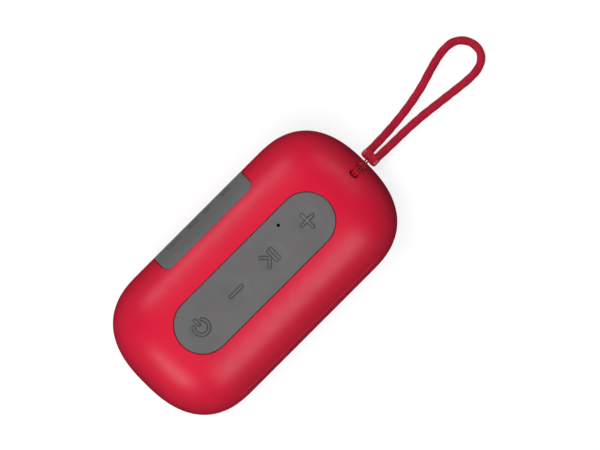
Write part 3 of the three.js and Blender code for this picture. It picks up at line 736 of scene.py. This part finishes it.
EDGE = 0.35 * MM  # radius of the rolled edges
HOLE_RADIUS = 2.5 * MM  # the two lanyard holes
HOLE_EDGE = 0.4 * MM  # radius of their rolled edges
BRIDGE = np.array((74 * MM, 0.0, MID_Z + 24.7 * MM))
LEAN = 0.5834  # how far the lanyard holes' axis points up, in radians
HOLE_OUT = np.array((math.cos(LEAN), 0, math.sin(LEAN)))
HOLE_DOWN = np.array((math.sin(LEAN), 0, -math.cos(LEAN)))
HOLE_CENTRES = [BRIDGE + HOLE_DOWN * along for along in (-4.35 * MM, 4.35 * MM)]
SCREWS = [(x, y) for x in (-64 * MM, 64 * MM) for y in (-14 * MM, 14 * MM)]
BOSS_RADIUS = 4.5 * MM
BOSS_FOOT = 4 * MM  # height at which a boss starts, inside the wall
WELL_RADIUS = 3.2 * MM  # the screws' wells from below
WELL_TOP = SEAM_Z - 6 * MM
TOOL_NEAR, TOOL_FAR = 15 * MM, 60 * MM  # span of the opening tools from the middle
FAR = 200 * MM  # beyond everything

PAD_OUTLINE = Outline(PAD_LENGTH, PAD_WIDTH, PAD_WIDTH / 2)
COVER_OUTLINE = Outline(COVER_SIZE[0], COVER_SIZE[2], COVER_CORNER, (0.0, (COVER_LOW[2] + COVER_HIGH[2]) / 2))
GRILLE_OUTLINE = Outline(GRILLE_SIZE[0], GRILLE_SIZE[2], GRILLE_CORNER - GAP, (0.0, MID_Z))


def rolled_edge(ring, radius, normals, sides=12):
    """A thin closed tube along a ring of points: it rounds the edge of an opening."""
    count = len(ring)
    points = []
    for i in range(count):
        way = ring[(i + 1) % count] - ring[i - 1]
        way /= np.linalg.norm(way)
        side = np.cross(way, normals[i])
        side /= np.linalg.norm(side)
        up = np.cross(side, way)
        for k in range(sides):
            angle = 2 * math.pi * k / sides
            points.append(ring[i] + radius * (math.cos(angle) * side + math.sin(angle) * up))
    piece = mesh_object("edge", points, tube_faces(count, sides, closed=True))
    face_outward(piece)
    return piece


def opening(outline, side):
    """The tool that cuts an opening in the side "up", "back" or "front", and its rolled edge."""
    grown = Outline(outline.width + 2 * GAP, outline.height + 2 * GAP, outline.corner + GAP, outline.centre)
    ring, inner = grown.ring(-EDGE), grown.ring()
    sign = -1 if side == "front" else 1
    flat = [0, 1] if side == "up" else [0, 2]

    def on_skin(inset):
        if side == "up":
            return np.array([(a, b, skin_height(a, b, inset)) for a, b in ring])
        return np.array([(a, sign * skin_depth(a, b, inset), b) for a, b in ring])

    normals = skin_normal(on_skin(0.0))
    outward = ring - np.array([inner[np.argmin(np.linalg.norm(inner - point, axis=1))] for point in ring])
    outward /= np.linalg.norm(outward, axis=1)[:, None]
    lean = (normals[:, flat] * outward).sum(axis=1)
    cut_ring = ring + outward * (EDGE * lean)[:, None]
    if side == "up":
        tool = prism(cut_ring, MID_Z + TOOL_NEAR, MID_Z + TOOL_FAR, up_space)
    else:
        tool = prism(cut_ring, *sorted((sign * TOOL_NEAR, sign * TOOL_FAR)), back_space)
    return tool, rolled_edge(on_skin(EDGE), EDGE, normals)


def round_bar(start, end, radius, sides=48):
    """A closed round bar between two points, as a tool."""
    start, end = np.array(start, float), np.array(end, float)
    way = (end - start) / np.linalg.norm(end - start)
    side = np.cross(way, (0, 1.0, 0))
    side /= np.linalg.norm(side)
    up = np.cross(side, way)
    angles = [2 * math.pi * i / sides for i in range(sides)]
    ring = [radius * (math.cos(a) * side + math.sin(a) * up) for a in angles]
    return solid_between([start + p for p in ring], [end + p for p in ring])


def slab(low, high):
    """A tool that covers everything between two heights."""
    return prism([(-FAR, -FAR), (FAR, -FAR), (FAR, FAR), (-FAR, FAR)], low, high, up_space)


def lanyard_hole(centre):
    """The tool for one lanyard hole, and its rolled edge, which lies just inside the skin."""
    side = np.array((0, 1.0, 0))
    ring, count = [], 48
    for i in range(count):
        angle = 2 * math.pi * i / count
        foot = centre + (HOLE_RADIUS + HOLE_EDGE) * (math.cos(angle) * side + math.sin(angle) * HOLE_DOWN)
        low, high = -4 * MM, 4 * MM  # the skin lies between these, along the hole
        for _ in range(30):
            middle = (low + high) / 2
            inside = skin_level((foot + HOLE_OUT * middle)[None, :])[0] < 1
            low, high = (middle, high) if inside else (low, middle)
        ring.append(foot + HOLE_OUT * (low - HOLE_EDGE))
    reach = HOLE_OUT * 10 * MM
    tool = round_bar(centre - reach, centre + reach, HOLE_RADIUS + HOLE_EDGE * 0.9)
    return tool, rolled_edge(np.array(ring), HOLE_EDGE, [HOLE_OUT] * count)


def hollow_pillow(name):
    """The whole housing as one hollow shape."""
    shell = pillow_mesh(name, 0.0, 160, 72, 40)
    cut(shell, [pillow_mesh("cavity", WALL, 64, 32, 12)])
    return shell


def finish_shell(shell, edges, node):
    """Shades and registers a shell, with its rolled edges as children."""
    smooth_by_skin(shell)
    shell.data.materials.clear()
    shell.data.materials.append(MATERIALS["housing"])
    for edge in edges:
        edge.name = shell.name + "_edge"
        edge.data.materials.append(MATERIALS["housing"])
        edge.parent = shell
    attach(shell, "housing")
    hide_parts(node)


def upper_shell():
    """The upper half, open for the key pad, the cover, the grille's upper half and the lanyard."""
    shell = hollow_pillow("housing_upper")
    bottom = SEAM_Z + GAP / 2
    tools, edges = [slab(-FAR, bottom)], []
    openings = [opening(PAD_OUTLINE, "up"), opening(COVER_OUTLINE, "back"), opening(GRILLE_OUTLINE, "front")]
    openings += [lanyard_hole(centre) for centre in HOLE_CENTRES]
    for tool, edge in openings:
        tools.append(tool)
        edges.append(edge)
    cut(shell, tools)
    grille_edge = edges[2]
    cut(grille_edge, [slab(bottom, FAR)], "INTERSECT")
    finish_shell(shell, edges, "upper_shell")


def lower_shell():
    """The lower half, open for the grille's lower half and the pad, with bosses for the screws."""
    shell = hollow_pillow("housing_lower")
    top = SEAM_Z - GAP / 2
    tool, edge = opening(GRILLE_OUTLINE, "front")
    base = Outline(BASE_SIZE[0] + 2 * GAP, BASE_SIZE[1] + 2 * GAP, BASE_SIZE[1] / 2 + GAP)
    cut(shell, [slab(top, FAR), tool, prism(base.ring(), -1 * MM, BASE_HIGH[2] + GAP, up_space)])
    bosses = []
    for x, y in SCREWS:
        boss = round_bar((x, y, BOSS_FOOT), (x, y, top), BOSS_RADIUS, 32)
        cut(boss, [pillow_mesh("room", WALL / 2, 48, 24, 8)], "INTERSECT")
        bosses.append(boss)
    cut(shell, bosses, "UNION")
    cut(shell, [round_bar((x, y, 0), (x, y, WELL_TOP), WELL_RADIUS, 32) for x, y in SCREWS])
    cut(edge, [slab(-FAR, top)], "INTERSECT")
    finish_shell(shell, [edge], "lower_shell")


upper_shell()
lower_shell()

# ---- Plates that follow the skin: key pad, port cover and grille ----

ROLL_SHARES = (0, 0.12, 0.4, 1)  # of the roll, where a plate repeats its outline
PLATE_SHARP = 38  # degrees from which a plate's edge stays sharp
INK = 2.0  # how dark a plate's raised signs are


def circle(x, y, radius, sides):
    angles = np.linspace(0, 2 * math.pi, sides, endpoint=False)
    return np.stack([x + radius * np.cos(angles), y + radius * np.sin(angles)], axis=1)


def store_painted_light_and_ink(piece, values):
    """Gives the silicone material its relief, one value for each vertex: painted highlight and painted shade on
    the keys, ink on the cover's signs.
    """
    layer = piece.data.attributes.new("relief", "FLOAT", "POINT")
    layer.data.foreach_set("value", np.array(values, dtype=np.float32))


def inner_grid(outline, holes, roll, spacing):
    """Evenly spread points inside an outline, clear of its rolled edge and of its holes."""
    half = np.array((outline.width, outline.height)) / 2
    columns = np.arange(-half[0], half[0], spacing)
    rows = np.arange(-half[1], half[1], spacing)
    grid = np.array([(x, y) for x in columns for y in rows]) + outline.centre
    inside = outline.distance(grid) < -(roll + 0.3 * spacing)
    for x, y, radius, _ in holes:
        inside &= np.linalg.norm(grid - (x, y), axis=1) > radius + 0.4 * spacing
    return grid[inside]


def flat_triangles(outline, holes, loops, others):
    """Triangles over an outline without its holes, and the flat points that they use.

    Loops are rings of points that the triangles must follow; others are single points.
    """
    edges, start = [], 0
    for loop in loops:
        edges += [(start + i, start + (i + 1) % len(loop)) for i in range(len(loop))]
        start += len(loop)
    points = [Vector(point) for point in np.concatenate(loops + others)]
    spots, _, triangles, _, _, _ = delaunay_2d_cdt(points, edges, [], 0, 1e-9)
    spots = np.array([tuple(spot) for spot in spots])
    centres = spots[np.array(triangles)].mean(axis=1)
    keep = outline.distance(centres) < 1e-7
    for x, y, radius, _ in holes:
        keep &= np.linalg.norm(centres - (x, y), axis=1) > radius * 0.97
    return spots, [tuple(triangle) for triangle, good in zip(triangles, keep) if good]


def crowned_plate(name, outline, holes, to_space, front, back, roll, spacing, material, relief=None, side=1):
    """A closed plate over an outline, with round holes (x, y, radius, sides).

    front and back give the depth of the two faces over flat points, and side is -1 where depth
    counts backwards; roll is the radius of the outer edge; spacing is the distance between inner
    points, if there are any; relief lifts the front face.
    """
    rings = [outline.ring(share * roll) for share in ROLL_SHARES]
    loops = [rings[0]] + [circle(*hole) for hole in holes]
    others = rings[1:] + ([inner_grid(outline, holes, roll, spacing)] if spacing else [])
    spots, triangles = flat_triangles(outline, holes, loops, others)
    count = len(spots)
    near = np.clip(-outline.distance(spots), 0, roll)
    drop = roll - np.sqrt(np.maximum(0, roll ** 2 - (roll - near) ** 2))
    lift = relief(spots) if relief else np.zeros(count)
    faces = triangles + [tuple(count + i for i in reversed(triangle)) for triangle in triangles]
    once = set()
    for triangle in triangles:
        for a, b in zip(triangle, triangle[1:] + triangle[:1]):
            once.symmetric_difference_update({(a, b)} if (b, a) not in once else {(b, a)})
    faces += [(b, a, count + a, count + b) for a, b in once]
    a, b = spots.T
    top = to_space(a, b, side * (front(a, b) - (drop - lift)))
    bottom = to_space(a, b, side * back(a, b))
    piece = mesh_object(name, np.concatenate([top, bottom], axis=1).T, faces, material)
    if relief:
        store_painted_light_and_ink(piece, np.concatenate([-INK * lift / lift.max(), np.zeros(count)]))
    face_outward(piece)
    piece.data.shade_smooth()
    piece.data.set_sharp_from_angle(angle=math.radians(PLATE_SHARP))
    return piece


def segment_distance(points, start, end):
    """Distance from each point to a straight line between two ends."""
    start, end = np.array(start), np.array(end)
    way = end - start
    share = np.clip(((points - start) @ way) / way.dot(way), 0, 1)
    return np.linalg.norm(points - start - share[:, None] * way, axis=1)


def box_line_distance(points, x, y, width, height, corner):
    """Distance to the line of a small rectangle with round corners."""
    return np.abs(Outline(width, height, corner, (x, y)).distance(points))


def soft_step(value, low, high):
    """0 at low and 1 at high, level beyond them and soft between; low may be the larger."""
    share = np.clip((value - low) / (high - low), 0, 1)
    return share * share * (3 - 2 * share)


# The signs on the keys, in millimetres from a key's middle. The power sign has an open ring as well.
KEY_LINES = {
    "minus": [((-4.2, 0), (3.6, 0))],
    "plus": [((-4.0, 0), (3.4, 0)), ((-0.45, -4.3), (-0.45, 3.9))],
    "play": [((-5.2, 3.4), (-1.8, 0)), ((-5.2, -3.4), (-1.8, 0)),
             ((0, -3.3), (0, 2.9)), ((1.6, -3.3), (1.6, 2.9))],
    "power": [((-0.3, 1.5), (-0.3, 4.3))],
}
RING_CENTRE = (-0.2, -0.3)
RING_RADIUS = 3.95
RING_OPENING = 0.8  # half of the ring's opening, in radians
CREST_FOOT, CREST_TOP = 0.38, 0.24  # half widths of a sign's line at its foot and its top
GROOVE_OFFSET, GROOVE_WIDTH = 0.82, 0.30  # of the soft groove along both sides of the line


def sign_distance(name, points):
    """Distance from each point, in millimetres from the key's middle, to the key's sign."""
    lines = [segment_distance(points, start, end) for start, end in KEY_LINES[name]]
    if name == "power":
        points = points - RING_CENTRE
        angle = np.abs(np.arctan2(points[:, 0], points[:, 1]))
        on_ring = np.abs(np.linalg.norm(points, axis=1) - RING_RADIUS)
        tip_x, tip_y = RING_RADIUS * math.sin(RING_OPENING), RING_RADIUS * math.cos(RING_OPENING)
        tips = [np.linalg.norm(points - (x, tip_y), axis=1) for x in (-tip_x, tip_x)]
        lines.append(np.where(angle > RING_OPENING, on_ring, np.minimum(*tips)))
    return np.min(lines, axis=0)


MEMBRANE = KEY_RADIUS + 0.35 * MM  # radius at which a key's piece meets the pad
DISH_INNER = 3.6 * MM  # radius of the dish's flat floor
RIDGE = 0.35 * MM  # height of a sign
GROOVE_DEPTH = 0.62 * MM
RIM_DEPTH, RIM_WIDTH = 0.05 * MM, 0.14 * MM  # of the fine line round the dish
KEY_SKIRT = 1.4 * MM  # how far a key's wall reaches below the floor
KEY_SHARP = 60  # degrees from which a key's edge stays sharp


def key_cap(name):
    """One key with the thin membrane round it: a dish with a raised sign in a soft groove."""
    centre = KEY_X[name]
    rings, sides = 96, 200
    radii = np.linspace(0, MEMBRANE, rings + 1)[1:]
    angles = np.linspace(0, 2 * math.pi, sides, endpoint=False)
    around = np.array([(r * math.cos(a), r * math.sin(a)) for r in radii for a in angles])
    local = np.concatenate([[(0.0, 0.0)], around])
    radius = np.linalg.norm(local, axis=1)
    slope = soft_step(radius, KEY_RADIUS, DISH_INNER)
    height = (1 - slope) * skin_height(local[:, 0] + centre, local[:, 1]) + slope * KEY_FLOOR
    far = sign_distance(name, local / MM)
    crest = soft_step(far, CREST_FOOT, CREST_TOP)
    groove = np.exp(-((far - GROOVE_OFFSET) / GROOVE_WIDTH) ** 2)
    height += RIDGE * crest
    height -= GROOVE_DEPTH * groove
    height -= RIM_DEPTH * np.exp(-((radius - KEY_RADIUS) / RIM_WIDTH) ** 2)
    points = np.stack([local[:, 0] + centre, local[:, 1], height], axis=1)
    faces = []
    for i in range(sides):
        j = (i + 1) % sides
        faces.append((0, 1 + i, 1 + j))
        for ring in range(rings - 1):
            low, high = 1 + ring * sides, 1 + (ring + 1) * sides
            faces.append((low + i, high + i, high + j, low + j))
    rim = 1 + (rings - 1) * sides
    foot = len(points)
    wall = points[rim:].copy()
    wall[:, 2] = KEY_FLOOR - KEY_SKIRT
    points = np.concatenate([points, wall])
    faces += [(rim + i, foot + i, foot + (i + 1) % sides, rim + (i + 1) % sides) for i in range(sides)]
    faces.append(tuple(reversed(range(foot, foot + sides))))
    piece = mesh_object("key_cap_" + name, points, faces, MATERIALS["silicone"], sharp=KEY_SHARP)
    # The stored relief paints a highlight on the sign's crest and paints shade in its groove.
    store_painted_light_and_ink(piece, np.concatenate([crest - groove, np.zeros(len(wall))]))
    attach(piece, "housing")
    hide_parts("key_" + name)
    piece.parent = None
    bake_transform(piece)


def key_pad():
    """The pad round the keys, flush with the skin, with a hole for the microphone."""
    holes = [(KEY_X[name], 0.0, MEMBRANE, 200) for name in KEY_NAMES]
    holes.append((*MIC_HOLE, 32))
    piece = crowned_plate(
        "key_pad_skin", PAD_OUTLINE, holes, up_space, front=skin_height,
        back=lambda x, y: np.full(len(x), PAD_LOW[2] + 1.9 * MM),
        roll=0.3 * MM, spacing=1.3 * MM, material=MATERIALS["silicone"])
    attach(piece, "housing")
    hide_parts("keypad")


key_pad()
for key_name in KEY_NAMES:
    key_cap(key_name)

# ---- Port cover ----

HINGE_Z = 34.7 * MM  # height of the strip along which the cover bends
MARK_Z = MID_Z + 16 * MM
MARK_HEIGHT = 0.22 * MM
MARK_FOOT, MARK_TOP = 0.46 * MM, 0.24 * MM  # half widths of a mark's line at its foot and its top


def cover_relief(points):
    """Four small port signs, raised and inked dark: a plug, a card, a ring and a socket."""
    plug, card, ring, socket = ((x * MM, MARK_Z) for x in (-18.4, -4.4, 5.1, 18.4))
    from_ring = np.linalg.norm(points - ring, axis=1)
    far = np.minimum.reduce([
        box_line_distance(points, *plug, 9.4 * MM, 2.6 * MM, 0.9 * MM),
        segment_distance(points, (-20.8 * MM, MARK_Z), (-16.0 * MM, MARK_Z)),
        box_line_distance(points, *card, 6.2 * MM, 3.0 * MM, 0.5 * MM),
        np.abs(from_ring - 1.7 * MM),
        from_ring,
        box_line_distance(points, *socket, 4.4 * MM, 2.8 * MM, 0.3 * MM),
    ])
    return MARK_HEIGHT * soft_step(far, MARK_FOOT, MARK_TOP)


def port_cover():
    """The rubber cover over the sockets, with its lower edge just below the hinge strip."""
    low = HINGE_Z - 0.6 * MM
    height = COVER_HIGH[2] - low
    outline = Outline(COVER_SIZE[0], height, COVER_CORNER, (0.0, low + height / 2))
    piece = crowned_plate(
        "cover_flap", outline, [], back_space, front=skin_depth,
        back=lambda x, z: skin_depth(x, z, 2.2 * MM),
        roll=0.45 * MM, spacing=0.42 * MM, material=MATERIALS["silicone"], relief=cover_relief)
    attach(piece, "housing")
    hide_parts("port_cover")
    piece.parent = None
    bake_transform(piece)


port_cover()

# ---- Grille ----


def grille_plate():
    """A perforated sheet that carries on the skin, with staggered round holes."""
    pitch, radius, sheet = 2.3 * MM, 0.72 * MM, 0.9 * MM
    row_pitch = pitch * math.sqrt(3) / 2
    rows = int(GRILLE_SIZE[2] / 2 / row_pitch)
    holes = []
    for row in range(-rows, rows + 1):
        z = MID_Z + row * row_pitch
        shift = pitch / 2 if row % 2 else 0.0
        count = int(GRILLE_SIZE[0] / 2 / pitch) + 1
        holes += [(column * pitch + shift, z, radius, 10) for column in range(-count, count + 1)]
    spots = np.array([hole[:2] for hole in holes])
    inside = GRILLE_OUTLINE.distance(spots) < -(radius + 1.3 * MM)
    holes = [hole for hole, good in zip(holes, inside) if good]
    piece = crowned_plate(
        "grille_sheet", GRILLE_OUTLINE, holes, back_space, front=skin_depth,
        back=lambda x, z: skin_depth(x, z, sheet),
        roll=0.4 * MM, spacing=0, material=MATERIALS["grille"], side=-1)
    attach(piece, "housing")
    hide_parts("grille")


grille_plate()

# ---- Floor and light ----


FLOOR_HALF = 4.0  # half of the floor's side
FLOOR_GLOW = 0.74  # added where the camera sees the floor
BACKDROP = 0.95  # strength of the world where the camera sees it


def make_floor():
    """A white table that looks overexposed, so shadows on it stay pale, and bounces plain light."""
    m = Nodes("floor_paper", (0.30, 0.30, 0.30), 0.9)
    m.set("Emission Color", (1, 1, 1, 1))
    m.link(m.math("MULTIPLY", m.new("LightPath").outputs["Is Camera Ray"], FLOOR_GLOW),
           m.shader.inputs["Emission Strength"])
    m.color(m.ramp(m.noise(6, 3), [(0.3, (0.29, 0.29, 0.29)), (0.7, (0.31, 0.31, 0.31))]))
    m.bump(m.noise(900, 3), 0.05, 0.0001)
    corners = [(x * FLOOR_HALF, y * FLOOR_HALF, FLOOR_Z) for x, y in ((-1, -1), (1, -1), (1, 1), (-1, 1))]
    floor = mesh_object("floor", corners, [(0, 1, 2, 3)], m.material)
    floor.visible_glossy = False


def make_world():
    """A pale backdrop behind everything; the lamps do the lighting."""
    world = bpy.data.worlds.new("studio")
    world.use_nodes = True
    background = world.node_tree.nodes["Background"]
    background.inputs["Color"].default_value = (1, 1, 1, 1)
    background.inputs["Strength"].default_value = BACKDROP
    bpy.context.scene.world = world
    world.cycles_visibility.diffuse = False
    world.cycles_visibility.glossy = False


def soft_box(name, azimuth, elevation, distance, width, height, radiance, reflected=True):
    """A rectangular light that looks at the speaker from an azimuth (0 is +X, 90 is +Y)."""
    data = bpy.data.lights.new(name, "AREA")
    data.shape = "RECTANGLE"
    data.size = width
    data.size_y = height
    data.energy = radiance * math.pi * width * height
    lamp = bpy.data.objects.new(name, data)
    turn, rise = math.radians(azimuth), math.radians(elevation)
    way = Vector((math.cos(turn) * math.cos(rise), math.sin(turn) * math.cos(rise), math.sin(rise)))
    lamp.location = Vector((0, 0, MID_Z)) + way * distance
    lamp.rotation_euler = way.to_track_quat("Z", "Y").to_euler()
    lamp.visible_camera = False
    lamp.visible_glossy = reflected
    bpy.context.scene.collection.objects.link(lamp)


make_floor()
make_world()
soft_box("key_light", 90, 50, 6.0, 3.0, 3.0, 5.7, reflected=False)
soft_box("top_light", 200, 78, 6.0, 3.0, 3.0, 7.9, reflected=False)
soft_box("front_reflection", -90, 38, 1.4, 0.56, 0.84, 3.2)
soft_box("back_reflection", 90, 24, 1.4, 0.56, 0.38, 3.9)
soft_box("power_end_reflection", 191, 31, 1.4, 0.80, 0.52, 4.0)
soft_box("lanyard_end_reflection", 14, 24, 1.4, 0.90, 0.50, 1.25)
bpy.context.scene.view_settings.view_transform = "Standard"
